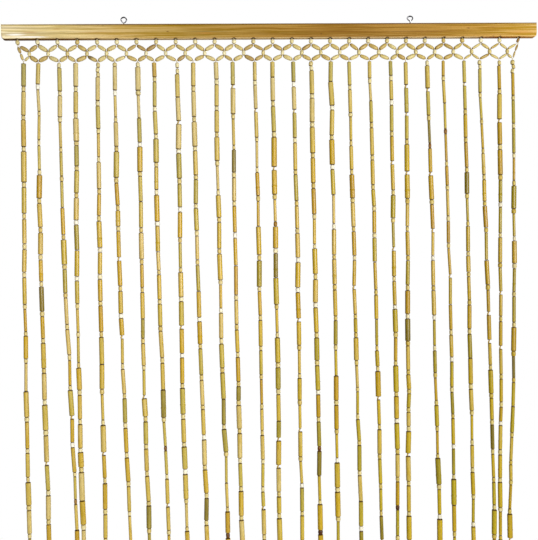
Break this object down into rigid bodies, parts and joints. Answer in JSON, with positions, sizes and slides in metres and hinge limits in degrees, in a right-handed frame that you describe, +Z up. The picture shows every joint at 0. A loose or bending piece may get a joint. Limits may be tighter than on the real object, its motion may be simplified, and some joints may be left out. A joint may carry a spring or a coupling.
{
  "type": "bamboo bead door curtain with wooden rail",
  "caption": "Door curtain of bamboo tubes strung on cords below a band of bead netting, hung from a slim wooden rail with screw eyes.",
  "frame": {"origin": "centre of the rail's back face", "axes": "+X along the rail to the right as seen from the front, +Y back to the wall, +Z up"},
  "size_m": [0.9, 0.012, 1.8146],
  "materials": {
    "rail_wood": "golden brown lacquered wood with a straight grain, satin gloss",
    "bamboo": "natural yellow bamboo tubes and wooden beads, smooth satin skin",
    "steel": "bright plated steel wire"
  },
  "bodies": {
    "root": {"rail": "rail_wood", "curtain": "bamboo", "screw_eye_left": "steel", "screw_eye_right": "steel"}
  },
  "joints": []
}
